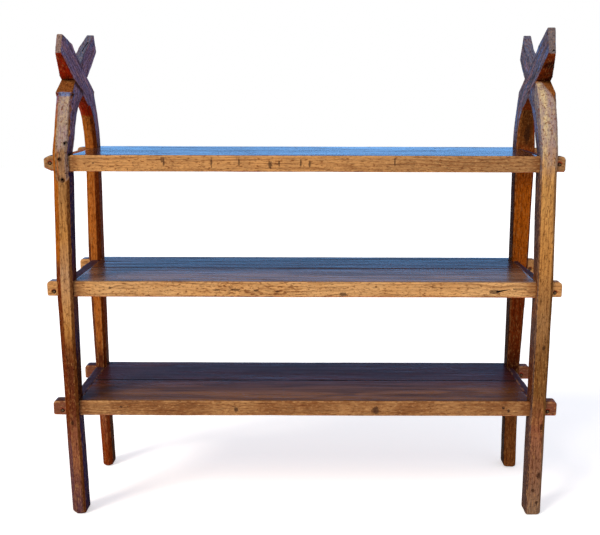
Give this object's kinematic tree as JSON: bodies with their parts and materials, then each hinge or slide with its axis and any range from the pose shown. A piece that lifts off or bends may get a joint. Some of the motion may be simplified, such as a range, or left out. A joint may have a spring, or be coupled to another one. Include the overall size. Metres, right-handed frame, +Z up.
{
  "type": "wooden rack",
  "caption": "Open rack of old timber with plank shelves on pegged through tenons between end frames of bent legs that cross above the top shelf.",
  "frame": {"origin": "on the floor, under the middle of the rack's whole outline", "axes": "+X along the shelves to the right seen from the front, +Y from the front to the back, +Z up"},
  "size_m": [1.5975, 0.464, 1.525],
  "materials": {
    "leg_wood": "old oiled teak, golden orange-brown with darker edges and worn pale patches",
    "shelf_wood": "dark oiled teak with a satin varnish sheen on top and lighter front edges",
    "rail_wood": "dark oiled teak, satin",
    "peg_wood": "dark end grain, dull"
  },
  "bodies": {
    "root": {"front_left_leg": "leg_wood", "front_right_leg": "leg_wood", "rear_left_leg": "leg_wood", "rear_right_leg": "leg_wood", "bottom_shelf_front_plank": "shelf_wood", "bottom_shelf_rear_plank": "shelf_wood", "left_bottom_rail": "rail_wood", "bottom_front_left_tenon_peg": "peg_wood", "bottom_rear_left_tenon_peg": "peg_wood", "right_bottom_rail": "rail_wood", "bottom_front_right_tenon_peg": "peg_wood", "bottom_rear_right_tenon_peg": "peg_wood", "middle_shelf_front_plank": "shelf_wood", "middle_shelf_rear_plank": "shelf_wood", "left_middle_rail": "rail_wood", "middle_front_left_tenon_peg": "peg_wood", "middle_rear_left_tenon_peg": "peg_wood", "right_middle_rail": "rail_wood", "middle_front_right_tenon_peg": "peg_wood", "middle_rear_right_tenon_peg": "peg_wood", "top_shelf_front_plank": "shelf_wood", "top_shelf_rear_plank": "shelf_wood", "left_top_rail": "rail_wood", "top_front_left_tenon_peg": "peg_wood", "top_rear_left_tenon_peg": "peg_wood", "right_top_rail": "rail_wood", "top_front_right_tenon_peg": "peg_wood", "top_rear_right_tenon_peg": "peg_wood", "left_crossing_peg": "peg_wood", "right_crossing_peg": "peg_wood"}
  },
  "joints": []
}
